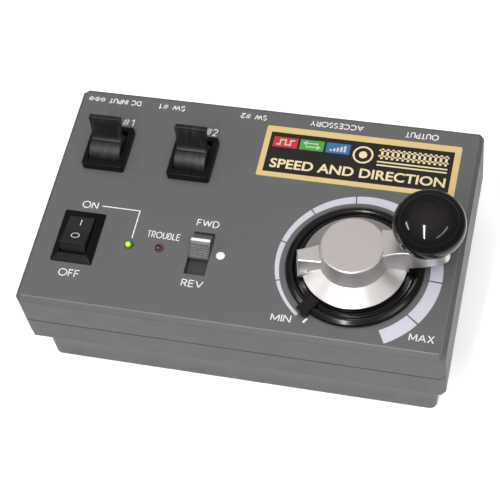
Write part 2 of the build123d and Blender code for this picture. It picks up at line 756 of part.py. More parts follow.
# ================================================================ speed control
with BuildPart() as pot_body:
    with BuildSketch(Plane.XY.offset(control_top_z)):
        with Locations((knob_x, knob_y)):
            Circle(8.5)
    extrude(amount=7.0)
    fillet(pot_body.faces().sort_by(Axis.Z)[-1].edges(), radius=0.5)
    with BuildSketch(Plane.XY.offset(control_top_z + 7.0)):
        with Locations((knob_x, knob_y)):
            Circle(4.3)
    extrude(amount=panel_under_z + 1.0 - control_top_z - 7.0)
    with BuildSketch(Plane.XY.offset(control_top_z + 2.0)):
        with Locations((knob_x, knob_y)):
            Circle(shaft_r + 0.05)
    extrude(amount=20, mode=Mode.SUBTRACT)
save(pot_body, "pot_body")

with BuildPart() as pot_terminals:
    with BuildSketch(Plane.XY.offset(control_top_z)):
        with Locations((knob_x, knob_y - 10.0)):
            with GridLocations(5.0, 0, 3, 1):
                Rectangle(1.2, 3.0)
    extrude(amount=2.4)
save(pot_terminals, "pot_terminals")

shaft_top = top_z + 9.0
with BuildPart() as pot_shaft:
    with BuildSketch(Plane.XY.offset(control_top_z + 2.3)):
        with Locations((knob_x, knob_y)):
            Circle(shaft_r)
    extrude(amount=shaft_top - control_top_z - 2.3)
    chamfer(pot_shaft.faces().sort_by(Axis.Z)[-1].edges(), length=0.4)
    flat_plane = arm_frame.offset(2.8)
    with BuildSketch(flat_plane):
        with Locations((-3.5, 0)):
            Rectangle(4.0, 8.0)
    extrude(amount=8.0, mode=Mode.SUBTRACT)
save(pot_shaft, "pot_shaft")

# dished base: rounded rim, steps down to the dish floor, drum under the silver skirt
with BuildPart() as knob_base:
    with BuildSketch(Plane.XZ.offset(-knob_y)):
        with BuildLine():
            Polyline(
                (knob_x, top_z + 0.35),
                (knob_x + dish_r - 0.2, top_z + 0.35),
                (knob_x + dish_r, top_z + 0.7),
                (knob_x + dish_r - 0.5, top_z + 1.35),
                (knob_x + 22.5, top_z + 1.95),
            )
            Spline(
                (knob_x + 22.5, top_z + 1.95),
                (knob_x + 21.75, top_z + 2.2),
                (knob_x + 20.9, top_z + 1.75),
                (knob_x + 20.3, top_z + 1.0),
            )
            Polyline(
                (knob_x + 20.3, top_z + 1.0),
                (knob_x + 19.7, top_z + 0.95),
                (knob_x + 19.5, top_z + 1.3),
                (knob_x + 19.1, top_z + 1.3),
                (knob_x + 18.9, top_z + 1.0),
                (knob_x + 17.9, top_z + 1.0),
                (knob_x + 17.4, top_z + skirt_edge),
                (knob_x + 9.6, top_z + skirt_edge),
                (knob_x + 9.6, top_z + 11.4),
                (knob_x, top_z + 11.4),
                (knob_x, top_z + 0.35),
            )
        make_face()
    revolve(axis=Axis((knob_x, knob_y, 0), (0, 0, 1)))
    # pointer across the rim
    with BuildSketch(pointer_frame.offset(0.35)):
        with Locations((22.45, 0)):
            RectangleRounded(7.0, 4.3, 0.4)
    extrude(amount=2.75)
    pointer_top = knob_base.faces().filter_by(Axis.Z).filter_by(
        lambda f: abs(f.center().Z - top_z - 3.1) < 0.01
    )
    fillet(pointer_top.edges().filter_by(lambda e: e.length > 0.9), radius=0.25)
    # foot under the lever's short wing
    with BuildSketch(arm_frame.offset(0.5)):
        with Locations((-18.0, 0)):
            RectangleRounded(3.2, 7.8, 0.4)
    extrude(amount=skirt_edge - 0.5)
    # shaft bore with its flat, and the recess over the bushing
    with BuildSketch(arm_frame.offset(0.35)):
        Circle(shaft_r)
    extrude(amount=9.0, mode=Mode.SUBTRACT)
    with BuildSketch(arm_frame.offset(3.2)):
        with Locations((-3.5, 0)):
            Rectangle(4.0, 8.0)
    extrude(amount=6.15)
save(knob_base, "knob_base")

# silver lever: conical skirt, hub, long arm that thins towards the tip, short wing
arm_rise = tan(radians(17.2))
arm_root_z = 4.95        # underside of the arm where it leaves the skirt

with BuildSketch() as arm_outline:
    with BuildLine():
        Spline((9.9, -5.6), (12.5, -5.05), (16.0, -4.95), (20.0, -5.6), (24.5, -6.35), (28.4, -6.5))
        Line((28.4, -6.5), (arm_tip, -6.3))
        Line((arm_tip, -6.3), (arm_tip, 6.3))
        Line((arm_tip, 6.3), (28.4, 6.5))
        Spline((28.4, 6.5), (24.5, 6.35), (20.0, 5.6), (16.0, 4.95), (12.5, 5.05), (9.9, 5.6))
        Line((9.9, 5.6), (9.9, -5.6))
    make_face()
    fillet(arm_outline.vertices().group_by(Axis.X)[-1], radius=2.2)

with BuildPart() as lever_arm:
    with BuildSketch(arm_frame.offset(skirt_edge)):
        add(arm_outline.sketch)
    extrude(amount=hub_top - skirt_edge)
    with BuildSketch(Plane(arm_frame.origin, x_dir=arm_frame.x_dir, z_dir=-arm_frame.y_dir)):
        with BuildLine():
            Polyline(
                (skirt_r + 0.02, -1),
                (skirt_r + 0.02, arm_root_z),
                (arm_tip + 2, arm_root_z + (arm_tip + 2 - skirt_r) * arm_rise),
                (arm_tip + 2, -1),
                close=True,
            )
        make_face()
    extrude(amount=10, both=True, mode=Mode.SUBTRACT)
    fillet(lever_arm.faces().sort_by(Axis.Z)[-1].edges(), radius=0.45)

with BuildPart() as speed_lever:
    with BuildSketch(Plane(arm_frame.origin, x_dir=arm_frame.x_dir, z_dir=-arm_frame.y_dir)):
        with BuildLine():
            Polyline(
                (9.7, skirt_edge),
                (skirt_r, skirt_edge),
                (skirt_r, skirt_edge + 0.35),
                (hub_foot_r, hub_foot),
                (hub_r + 0.1, hub_top - 0.6),
                (hub_r - 0.15, hub_top - 0.15),
                (hub_r - 0.6, hub_top),
                (0, hub_top),
                (0, 11.5),
                (9.7, 11.5),
                close=True,
            )
        make_face()
    revolve(axis=Axis((knob_x, knob_y, 0), (0, 0, 1)))
    add(lever_arm.part)
    # wing opposite the arm, on a sloped foot
    with BuildSketch(arm_frame.offset(skirt_edge)) as wing_plan:
        with BuildLine():
            Polyline((-9.9, -3.9), (-9.9, 3.9), (-18.9, 2.2), (-18.9, -2.2), close=True)
        make_face()
    extrude(amount=10.6 - skirt_edge)
    with BuildSketch(Plane(arm_frame.origin, x_dir=arm_frame.x_dir, z_dir=-arm_frame.y_dir)):
        with BuildLine():
            Polyline(
                (-16.2, skirt_edge),
                (-19.5, skirt_edge),
                (-19.5, skirt_edge + 0.9),
                (-16.2, skirt_edge + 2.6),
                close=True,
            )
        make_face()
    extrude(amount=3.9, both=True)
    wing_top = speed_lever.faces().filter_by(Axis.Z).filter_by(
        lambda f: abs(f.center().Z - top_z - 10.6) < 0.01
    )
    wing_rim = wing_top.edges().filter_by(GeomType.LINE)
    fillet(wing_rim, radius=0.5)
    # seat for the ball's stud, from below
    with BuildSketch(arm_frame.offset(skirt_edge)):
        with Locations((ball_reach, 0)):
            Circle(1.55)
    extrude(amount=hub_top, mode=Mode.SUBTRACT)
    with BuildSketch(arm_frame.offset(skirt_edge)):
        with Locations((ball_reach, 0)):
            Circle(3.3)
    extrude(amount=10.4 - skirt_edge, mode=Mode.SUBTRACT)
save(speed_lever, "speed_lever")

ball_x = knob_x + ball_reach * cos(radians(arm_angle))
ball_y = knob_y + ball_reach * sin(radians(arm_angle))
ball_z = top_z + ball_mid

# flattened ball: an elliptical crown from its seat up to the pole
ball_cut_angle = -asin((ball_mid - hub_top) / ball_half_h)
crown_steps = 12
crown_angles = [ball_cut_angle + (pi / 2 - ball_cut_angle) * step / crown_steps for step in range(crown_steps + 1)]
crown_points = [(ball_x + ball_r * cos(angle), ball_z + ball_half_h * sin(angle)) for angle in crown_angles]
seat_direction = (-ball_r * sin(ball_cut_angle), ball_half_h * cos(ball_cut_angle))

with BuildPart() as ball_grip:
    with BuildSketch(Plane.XZ.offset(-ball_y)):
        with BuildLine():
            Spline(*crown_points, tangents=[seat_direction, (-1, 0)])
            Polyline(
                crown_points[-1],
                (ball_x, top_z + hub_top + 9.0),
                (ball_x + 1.5, top_z + hub_top + 9.0),
                (ball_x + 1.5, crown_points[0][1]),
                crown_points[0],
            )
        make_face()
    revolve(axis=Axis((ball_x, ball_y, 0), (0, 0, 1)))
save(ball_grip, "ball_grip")

with BuildPart() as ball_stud:
    with BuildSketch(Plane.XY.offset(top_z + 10.4 - 1.7)):
        with Locations((ball_x, ball_y)):
            Circle(3.0)
    extrude(amount=1.7)
    fillet(ball_stud.faces().sort_by(Axis.Z)[0].edges(), radius=0.6)
    with BuildSketch(Plane.XY.offset(top_z + 10.4)):
        with Locations((ball_x, ball_y)):
            Circle(1.5)
    extrude(amount=12.4)
    with BuildSketch(Plane.XY.offset(top_z + 10.4 - 1.7)):
        with Locations((ball_x, ball_y)):
            Rectangle(3.2, 0.8)
            Rectangle(0.8, 3.2)
    extrude(amount=1.0, mode=Mode.SUBTRACT)
save(ball_stud, "ball_stud")

# ================================================================ rear sockets
socket_mid_z = main_top_z + socket_h / 2
socket_depth = 11.0

with BuildPart() as dc_jack:
    with BuildSketch(Plane.XZ.offset(-socket_face_y)):
        with Locations((dc_x, socket_mid_z)):
            Rectangle(9.0, socket_h)
            Circle(3.1, mode=Mode.SUBTRACT)
    extrude(amount=socket_depth - 1.5)
    with BuildSketch(Plane.XZ.offset(-socket_face_y + socket_depth - 1.5)):
        with Locations((dc_x, socket_mid_z)):
            Rectangle(9.0, socket_h)
    extrude(amount=1.5)
save(dc_jack, "dc_jack")

with BuildPart() as dc_jack_pin:
    with BuildSketch(Plane.XZ.offset(-socket_face_y + 1.2)):
        with Locations((dc_x, socket_mid_z)):
            Circle(1.0)
    extrude(amount=socket_depth - 2.7)
    fillet(dc_jack_pin.faces().sort_by(Axis.Y)[-1].edges(), radius=0.5)
save(dc_jack_pin, "dc_jack_pin")

socket_specs = {
    "turnout_socket_1": (turnout_socket_x[0], 11.0, 2),
    "turnout_socket_2": (turnout_socket_x[1], 11.0, 2),
    "accessory_socket": (accessory_x, 11.0, 2),
    "output_socket": (output_x, 13.0, 2),
}

for socket_name, (socket_x, socket_w, ways) in socket_specs.items():
    with BuildPart() as socket:
        with BuildSketch(Plane.XZ.offset(-socket_face_y)) as socket_face:
            with Locations((socket_x, socket_mid_z)):
                Rectangle(socket_w, socket_h)
        extrude(amount=socket_depth)
        with BuildSketch(Plane.XZ.offset(-socket_face_y)):
            with Locations((socket_x, socket_mid_z)):
                Rectangle(socket_w - 2.4, 5.6)
            with Locations((socket_x, socket_mid_z + 2.8)):
                Rectangle(3.0, 1.2)
        extrude(amount=socket_depth - 2.0, mode=Mode.SUBTRACT)
    save(socket, socket_name)

with BuildPart() as socket_contacts:
    with BuildSketch(Plane.XY.offset(socket_mid_z - 2.8)):
        for socket_x, socket_w, ways in socket_specs.values():
            with Locations((socket_x, socket_face_y - 5.4)):
                with GridLocations(3.6, 0, ways, 1):
                    Rectangle(1.6, 7.0)
    extrude(amount=0.35)
save(socket_contacts, "socket_contacts")

# ================================================================ parts on the main board
sink_x, sink_y = 28.0, 22.0

with BuildPart() as regulator:
    with BuildSketch(Plane.XY.offset(main_top_z + 3.0)):
        with Locations((sink_x, sink_y - 2.4)):
            Rectangle(10.2, 4.4)
    extrude(amount=9.0)
    with BuildSketch(Plane.XY.offset(main_top_z + 3.0)):
        with Locations((sink_x, sink_y - 0.7)):
            Rectangle(10.2, 1.4)
    extrude(amount=15.5)
    with BuildSketch(Plane.XY.offset(main_top_z)):
        with Locations((sink_x, sink_y - 2.4)):
            with GridLocations(2.54, 0, 3, 1):
                Rectangle(0.9, 0.5)
    extrude(amount=3.0)
    with BuildSketch(Plane.XZ.offset(-sink_y)):
        with Locations((sink_x, main_top_z + 15.6)):
            Circle(1.8)
    extrude(amount=6, mode=Mode.SUBTRACT)
save(regulator, "regulator")

with BuildPart() as heat_sink:
    with BuildSketch(Plane.XY.offset(main_top_z)):
        with Locations((sink_x, sink_y + 1.0)):
            Rectangle(30.0, 2.0)
        for side in (-1, 1):
            with Locations((sink_x + side * 10.5, sink_y - 3.0)):
                with GridLocations(3.0, 0, 4, 1):
                    Rectangle(1.2, 6.2)
    extrude(amount=19.0)
    with BuildSketch(Plane.XZ.offset(-sink_y - 3)):
        with Locations((sink_x, main_top_z + 15.6)):
            Circle(1.35)
    extrude(amount=4, mode=Mode.SUBTRACT)
save(heat_sink, "heat_sink")

with BuildPart() as heat_sink_screw:
    with BuildSketch(Plane.XZ.offset(-sink_y + 1.4)):
        with Locations((sink_x, main_top_z + 15.6)):
            Circle(2.7)
    extrude(amount=1.8)
    fillet(heat_sink_screw.faces().sort_by(Axis.Y)[0].edges(), radius=0.5)
    with BuildSketch(Plane.XZ.offset(-sink_y + 1.4)):
        with Locations((sink_x, main_top_z + 15.6)):
            Circle(1.3)
    extrude(amount=-3.4)
save(heat_sink_screw, "heat_sink_screw")

capacitor_specs = [(-2.0, 20.0, 6.25, 16.0), (56.0, 8.0, 5.0, 9.0), (-38.0, -4.0, 4.0, 8.4)]
with BuildPart() as capacitors:
    for cap_x, cap_y, cap_r, cap_h in capacitor_specs:
        with BuildSketch(Plane.XY.offset(main_top_z)):
            with Locations((cap_x, cap_y)):
                Circle(cap_r)
        extrude(amount=cap_h)
    fillet(capacitors.edges().filter_by(GeomType.CIRCLE).filter_by(lambda e: e.center().Z > main_top_z + 1), radius=0.6)
save(capacitors, "capacitors")

with BuildPart() as chips:
    for chip_x, chip_y, chip_w, chip_d, chip_h in [
        (-14.0, -18.0, 10.0, 7.5, 2.2),
        (20.0, -14.0, 5.0, 4.4, 1.5),
        (-62.0, 5.0, 6.2, 5.0, 2.0),
        (62.0, 22.0, 8.6, 6.0, 2.3),
    ]:
        with BuildSketch(Plane.XY.offset(main_top_z)):
            with Locations((chip_x, chip_y)):
                Rectangle(chip_w, chip_d)
        extrude(amount=chip_h)
save(chips, "chips")
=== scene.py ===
"""Train set controller: looks, printing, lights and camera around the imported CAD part. Metres, row frame."""

import json
import math

import bmesh
import bpy
from mathutils import Matrix, Vector
from mathutils.bvhtree import BVHTree

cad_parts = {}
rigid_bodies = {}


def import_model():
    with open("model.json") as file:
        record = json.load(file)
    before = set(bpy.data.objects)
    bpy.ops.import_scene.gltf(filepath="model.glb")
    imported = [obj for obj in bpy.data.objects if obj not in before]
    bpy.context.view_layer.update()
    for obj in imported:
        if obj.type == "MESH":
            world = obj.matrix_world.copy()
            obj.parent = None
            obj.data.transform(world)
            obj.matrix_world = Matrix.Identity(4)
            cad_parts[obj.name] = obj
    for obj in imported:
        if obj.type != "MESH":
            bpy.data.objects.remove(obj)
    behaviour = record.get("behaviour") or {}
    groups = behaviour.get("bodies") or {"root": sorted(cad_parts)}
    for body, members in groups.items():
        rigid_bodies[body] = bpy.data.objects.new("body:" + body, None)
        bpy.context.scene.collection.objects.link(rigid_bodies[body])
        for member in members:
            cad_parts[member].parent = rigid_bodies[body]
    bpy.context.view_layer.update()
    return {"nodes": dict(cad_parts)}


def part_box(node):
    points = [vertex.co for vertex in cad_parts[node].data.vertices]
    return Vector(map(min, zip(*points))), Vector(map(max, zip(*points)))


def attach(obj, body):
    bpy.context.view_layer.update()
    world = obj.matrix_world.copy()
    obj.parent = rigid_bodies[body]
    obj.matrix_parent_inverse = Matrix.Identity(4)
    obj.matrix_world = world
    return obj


for leftover in list(bpy.data.objects):
    bpy.data.objects.remove(leftover)

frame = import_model()
nodes = frame["nodes"]
scene = bpy.context.scene

MM = 0.001          # the scene is in metres, sizes below are in millimetres
ABOVE_ALL = 0.2     # a height over the whole part, in metres
PANEL_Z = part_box("upper_case")[1].z / MM
PLATE_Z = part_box("nameplate")[1].z / MM


# ---------------------------------------------------------------- node helpers
class Graph:
    """Short calls for building one material's node tree."""

    def __init__(self, name):
        self.material = bpy.data.materials.new(name)
        self.material.use_nodes = True
        self.tree = self.material.node_tree
        self.shader = self.tree.nodes["Principled BSDF"]
        self.place = self.node("ShaderNodeTexCoord").outputs["Object"]

    def node(self, kind, **settings):
        made = self.tree.nodes.new(kind)
        for key, value in settings.items():
            setattr(made, key, value)
        return made

    def feed(self, socket, value):
        if isinstance(value, bpy.types.NodeSocket):
            self.tree.links.new(value, socket)
        else:
            socket.default_value = value

    def noise(self, scale, detail=2.0, roughness=0.5, stretch=None):
        made = self.node("ShaderNodeTexNoise")
        made.inputs["Scale"].default_value = scale
        made.inputs["Detail"].default_value = detail
        made.inputs["Roughness"].default_value = roughness
        where = self.place
        if stretch:
            mapping = self.node("ShaderNodeMapping")
            mapping.inputs["Scale"].default_value = stretch
            self.tree.links.new(self.place, mapping.inputs["Vector"])
            where = mapping.outputs["Vector"]
        self.tree.links.new(where, made.inputs["Vector"])
        return made.outputs["Fac"]

    def math(self, operation, first, second=0.0):
        made = self.node("ShaderNodeMath", operation=operation)
        self.feed(made.inputs[0], first)
        self.feed(made.inputs[1], second)
        return made.outputs[0]

    def remap(self, value, low, high, out_low, out_high):
        made = self.node("ShaderNodeMapRange", clamp=True)
        self.feed(made.inputs["Value"], value)
        for key, number in (("From Min", low), ("From Max", high), ("To Min", out_low), ("To Max", out_high)):
            made.inputs[key].default_value = number
        return made.outputs["Result"]

    def mix(self, share, first, second):
        made = self.node("ShaderNodeMix", data_type="RGBA")
        self.feed(made.inputs["Factor"], share)
        self.feed(made.inputs["A"], first)
        self.feed(made.inputs["B"], second)
        return made.outputs["Result"]

    def soft_edge(self, radius_mm):
        """Normal rounded over sharp edges, and a mask that is 1 on them."""
        bevel = self.node("ShaderNodeBevel", samples=4)
        bevel.inputs["Radius"].default_value = radius_mm * MM
        geometry = self.node("ShaderNodeNewGeometry")
        product = self.node("ShaderNodeVectorMath", operation="DOT_PRODUCT")
        self.tree.links.new(bevel.outputs["Normal"], product.inputs[0])
        self.tree.links.new(geometry.outputs["Normal"], product.inputs[1])
        mask = self.remap(product.outputs["Value"], 0.80, 0.995, 1.0, 0.0)
        return bevel.outputs["Normal"], mask

    def bump(self, height, distance_mm, strength=1.0, normal=None):
        made = self.node("ShaderNodeBump")
        made.inputs["Strength"].default_value = strength
        made.inputs["Distance"].default_value = distance_mm * MM
        self.tree.links.new(height, made.inputs["Height"])
        if normal is not None:
            self.tree.links.new(normal, made.inputs["Normal"])
        return made.outputs["Normal"]


def tint(colour, factor):
    return (*(min(1.0, channel * factor) for channel in colour), 1.0)


def band_mask(g, low_mm, high_mm, soft_mm):
    """1 between two heights above the floor, 0 elsewhere."""
    split = g.node("ShaderNodeSeparateXYZ")
    g.tree.links.new(g.place, split.inputs[0])
    z = split.outputs["Z"]
    rise = g.remap(z, (low_mm - soft_mm) * MM, (low_mm + soft_mm) * MM, 0.0, 1.0)
    fall = g.remap(z, (high_mm - soft_mm) * MM, (high_mm + soft_mm) * MM, 1.0, 0.0)
    return g.math("MULTIPLY", rise, fall)


def plastic(
    name, colour, roughness, spread=0.05, grain=1800.0, grain_mm=0.006, edge_mm=0.25, edge_wear_and_highlight=0.25,
    edge_wear_and_highlight_factor=1.5, specular=0.5, metallic=0.0, swing=0.05, streaks=None, painted_shade_and_highlight_bands=(),
):
    """Moulded plastic: faint blotches, moulded grain, rubbed edges that also carry a painted highlight, bands
    of painted shade and painted highlight by height, and an uneven sheen.
    """
    g = Graph(name)
    blotch = g.noise(55.0, 3.0)
    base = g.mix(blotch, tint(colour, 1.0 - spread), tint(colour, 1.0 + spread))
    normal, edge = g.soft_edge(edge_mm)
    # edges are brightened: partly rubbed wear, partly a painted highlight along them
    rubbed_and_lit_edge = g.math("MULTIPLY", edge, g.remap(g.noise(900.0, 3.0), 0.35, 0.65, edge_wear_and_highlight * 0.4, edge_wear_and_highlight))
    base = g.mix(rubbed_and_lit_edge, base, tint(colour, edge_wear_and_highlight_factor))
    if streaks:
        scuff = g.remap(g.noise(1.0, 3.0, 0.6, streaks), 0.45, 0.75, 0.0, 0.75)
        base = g.mix(scuff, base, tint(colour, 4.2))
    # bands by height that darken or lighten the colour: painted shade and painted highlights
    for low_mm, high_mm, soft_mm, factor, strength in painted_shade_and_highlight_bands:
        share = g.math("MULTIPLY", band_mask(g, low_mm, high_mm, soft_mm), strength)
        base = g.mix(share, base, tint(colour, factor))
    g.feed(g.shader.inputs["Base Color"], base)
    sheen_noise = g.noise(140.0, 4.0, 0.6)
    g.feed(g.shader.inputs["Roughness"], g.remap(sheen_noise, 0.3, 0.7, roughness - swing, roughness + swing))
    g.feed(g.shader.inputs["Normal"], g.bump(g.noise(grain, 2.0), grain_mm, 1.0, normal))
    g.shader.inputs["Specular IOR Level"].default_value = specular
    g.shader.inputs["Metallic"].default_value = metallic
    return g.material


def metal(name, colour, roughness, brushed=None, edge_mm=0.12, metallic=1.0):
    """Bare or plated metal with fine drawn marks."""
    g = Graph(name)
    g.feed(g.shader.inputs["Base Color"], g.mix(g.noise(120.0, 4.0), tint(colour, 0.86), tint(colour, 1.06)))
    marks = g.noise(700.0, 3.0, 0.6, brushed)
    g.feed(g.shader.inputs["Roughness"], g.remap(marks, 0.3, 0.7, roughness - 0.06, roughness + 0.08))
    normal = g.soft_edge(edge_mm)[0]
    g.feed(g.shader.inputs["Normal"], g.bump(marks, 0.004, 1.0, normal))
    g.shader.inputs["Metallic"].default_value = metallic
    return g.material


def ink(name, colour, roughness=0.45, spread=0.03, metallic=0.0):
    """Screen-printed ink: nearly even, with a little thinning."""
    g = Graph(name)
    thinning = g.noise(900.0, 3.0)
    g.feed(g.shader.inputs["Base Color"], g.mix(thinning, tint(colour, 1 - spread), tint(colour, 1.0)))
    cover = g.noise(1600.0, 2.0)
    g.feed(g.shader.inputs["Roughness"], g.remap(cover, 0.3, 0.7, roughness - 0.05, roughness + 0.05))
    g.feed(g.shader.inputs["Normal"], g.bump(cover, 0.003))
    g.shader.inputs["Metallic"].default_value = metallic
    return g.material


def lens(name, core, rim, centre_mm, fade_mm, glow):
    """A domed indicator: the colour of its core fades to its rim between two distances; glow lights it."""
    g = Graph(name)
    offset = g.node("ShaderNodeVectorMath", operation="SUBTRACT")
    g.tree.links.new(g.place, offset.inputs[0])
    offset.inputs[1].default_value = tuple(v * MM for v in centre_mm)
    length = g.node("ShaderNodeVectorMath", operation="LENGTH")
    g.tree.links.new(offset.outputs["Vector"], length.inputs[0])
    fade = g.remap(length.outputs["Value"], fade_mm[0] * MM, fade_mm[1] * MM, 0.0, 1.0)
    swirl = g.remap(g.noise(1500.0, 2.0), 0.3, 0.7, 0.92, 1.0)
    colour = g.mix(fade, (*core, 1.0), (*rim, 1.0))
    g.feed(g.shader.inputs["Base Color"], colour)
    g.feed(g.shader.inputs["Roughness"], g.remap(swirl, 0.92, 1.0, 0.16, 0.24))
    g.shader.inputs["Coat Weight"].default_value = 0.6
    g.shader.inputs["Coat Roughness"].default_value = 0.05
    if glow:
        g.feed(g.shader.inputs["Emission Color"], colour)
        g.shader.inputs["Emission Strength"].default_value = glow
    return g.material


def circuit_board(name):
    """Green solder mask over faint copper tracks."""
    g = Graph(name)
    tracks = g.node("ShaderNodeTexBrick", offset=0.5)
    tracks.inputs["Scale"].default_value = 160.0
    tracks.inputs["Mortar Size"].default_value = 0.03
    g.tree.links.new(g.place, tracks.inputs["Vector"])
    tone = g.mix(tracks.outputs["Fac"], (0.012, 0.085, 0.035, 1.0), (0.03, 0.16, 0.06, 1.0))
    cloud = g.remap(g.noise(90.0), 0.3, 0.7, 0.0, 0.3)
    g.feed(g.shader.inputs["Base Color"], g.mix(cloud, tone, (0.01, 0.06, 0.03, 1.0)))
    g.feed(g.shader.inputs["Roughness"], g.remap(g.noise(400.0), 0.3, 0.7, 0.3, 0.42))
    g.feed(g.shader.inputs["Normal"], g.bump(tracks.outputs["Fac"], 0.02))
    return g.material


# ---------------------------------------------------------------- finishes of the CAD nodes
REAR_PANEL_LIP = 1.2        # the rear panel stands above the seam by this
BAND_H = 12.7               # from the seam down to the ledge over the plinth
SEAM_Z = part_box("rear_panel")[1].z / MM - REAR_PANEL_LIP
LEDGE_Z = SEAM_Z - BAND_H
case_plastic = plastic(
    "case_plastic", (0.0815, 0.082, 0.083), 0.44, spread=0.03, grain=2200.0, grain_mm=0.006,
    edge_mm=0.3, edge_wear_and_highlight=0.6, edge_wear_and_highlight_factor=1.6,
    # painted shade: the seam's shadow line; painted highlights: the rim's light line, and a paler top of the
    # plinth that stands in for light falling under the ledge
    painted_shade_and_highlight_bands=(
        (SEAM_Z - 0.42, SEAM_Z + 0.03, 0.03, 0.10, 0.97),
        (PANEL_Z - 0.22, PANEL_Z - 0.04, 0.03, 1.8, 0.8),
        (LEDGE_Z - 11.0, LEDGE_Z - 2.5, 2.5, 1.26, 1.0),
    ),
)
ball_plastic = plastic(
    "ball_plastic", (0.0045, 0.004, 0.004), 0.09, grain=300.0, grain_mm=0.0006, edge_mm=0.15,
    edge_wear_and_highlight=0.1, swing=0.015, specular=0.38,
)
base_plastic = plastic(
    "knob_base_plastic", (0.003, 0.003, 0.003), 0.20, grain=2500.0, grain_mm=0.001, edge_mm=0.15,
    edge_wear_and_highlight=0.3, edge_wear_and_highlight_factor=3.0, swing=0.03, specular=0.36,
)
rocker_plastic = plastic(
    "rocker_plastic", (0.0088, 0.0084, 0.0082), 0.42, grain=2200.0, grain_mm=0.008, edge_mm=0.25,
    edge_wear_and_highlight=0.4, edge_wear_and_highlight_factor=2.2,
)
lever_plastic = plastic(
    "lever_plastic", (0.0090, 0.0084, 0.0084), 0.41, grain=1600.0, grain_mm=0.016, edge_mm=0.2,
    edge_wear_and_highlight=0.5, edge_wear_and_highlight_factor=2.4, spread=0.12, specular=0.36, streaks=(900.0, 160.0, 160.0),
)
bezel_plastic = plastic(
    "bezel_plastic", (0.0035, 0.0035, 0.0037), 0.33, grain=2200.0, grain_mm=0.006, edge_mm=0.25,
    edge_wear_and_highlight=0.4, edge_wear_and_highlight_factor=2.6, specular=0.13,
)
part_black = plastic("component_black", (0.02, 0.02, 0.021), 0.5, grain=900.0, grain_mm=0.01)
silver_paint = plastic(
    "silver_paint", (0.77, 0.755, 0.75), 0.35, spread=0.02, grain=5200.0, grain_mm=0.003,
    edge_mm=0.3, edge_wear_and_highlight=0.12, edge_wear_and_highlight_factor=1.06, swing=0.03, metallic=0.93,
)
# the slide's flange, down in the slot, is painted darker than its grip: painted shade in the slot
slide_plastic = plastic(
    "slide_plastic", (0.080, 0.083, 0.087), 0.42, grain=1900.0, grain_mm=0.006, edge_mm=0.12,
    edge_wear_and_highlight=0.35, painted_shade_and_highlight_bands=((30.0, PANEL_Z - 0.9, 0.03, 0.33, 1.0),),
)
rubber = plastic(
    "foot_rubber", (0.03, 0.03, 0.03), 0.75, grain=1100.0, grain_mm=0.03, edge_wear_and_highlight=0.3, edge_wear_and_highlight_factor=2.0,
    specular=0.3,
)
steel = metal("steel", (0.62, 0.62, 0.61), 0.32)
weight_steel = metal("weight_steel", (0.42, 0.42, 0.43), 0.45, (1.0, 12.0, 1.0))
brass = metal("brass", (0.78, 0.60, 0.30), 0.30)
aluminium = metal("aluminium", (0.75, 0.75, 0.76), 0.38, (1.0, 1.0, 14.0))
gold_foil = metal("gold_foil", (0.72, 0.555, 0.25), 0.42, (1.0, 10.0, 1.0), metallic=0.5)
label_foil = metal("label_foil", (0.66, 0.66, 0.67), 0.42, (1.0, 10.0, 1.0))
board = circuit_board("circuit_board")
green_lens = lens(
    "green_lens", (0.32, 0.58, 0.02), (0.025, 0.075, 0.004), (-40.2, -19.6, 49.2), (0.40, 1.35), 0.70,
)
red_lens = lens(
    "red_lens", (0.012, 0.0015, 0.0015), (0.17, 0.06, 0.052), (-29.2, -19.2, 49.2), (0.85, 1.45), 0.0,
)

FINISH = {
    "accessory_socket": bezel_plastic,
    "ball_grip": ball_plastic,
    "ball_stud": steel,
    "base_weight": weight_steel,
    "capacitors": part_black,
    "case_screws": steel,
    "chips": part_black,
    "control_board": board,
    "control_board_screws": steel,
    "dc_jack": bezel_plastic,
    "dc_jack_pin": brass,
    "green_led": green_lens,
    "heat_sink": aluminium,
    "heat_sink_screw": steel,
    "knob_base": base_plastic,
    "led_leads": steel,
    "link_header": brass,
    "link_socket": part_black,
    "lower_case": case_plastic,
    "main_board": board,
    "main_board_screws": steel,
    "nameplate": gold_foil,
    "output_socket": bezel_plastic,
    "pot_body": steel,
    "pot_shaft": steel,
    "pot_terminals": steel,
    "power_leads": part_black,
    "power_rocker": rocker_plastic,
    "power_switch_housing": bezel_plastic,
    "power_switch_terminals": brass,
    "rating_label": label_foil,
    "rear_panel": case_plastic,
    "red_led": red_lens,
    "regulator": part_black,
    "rubber_feet": rubber,
    "slide_knob": slide_plastic,
    "slide_switch_body": part_black,
    "slide_switch_frame": steel,
    "socket_contacts": brass,
    "speed_lever": silver_paint,
    "turnout_lever_1": lever_plastic,
    "turnout_lever_2": lever_plastic,
    "turnout_socket_1": bezel_plastic,
    "turnout_socket_2": bezel_plastic,
    "turnout_switch_1": bezel_plastic,
    "turnout_switch_2": bezel_plastic,
    "turnout_switch_terminals": brass,
    "upper_case": case_plastic,
    "weight_screws": steel,
}
for node_name, node in nodes.items():
    for material_slot in node.material_slots:
        material_slot.material = FINISH[node_name]


# ---------------------------------------------------------------- printed shapes
def piece(name, mesh, material, body):
    made = bpy.data.objects.new(name, mesh)
    scene.collection.objects.link(made)
    mesh.materials.clear()
    mesh.materials.append(material)
    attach(made, body)
    return made


def bow(x, y, rx, ry, start, end):
    """Points along an elliptical arc, angles in degrees."""
    steps = max(3, round(abs(end - start) / 15))
    angles = [math.radians(start + (end - start) * i / steps) for i in range(steps + 1)]
    return [(x + rx * math.cos(a), y + ry * math.sin(a)) for a in angles]


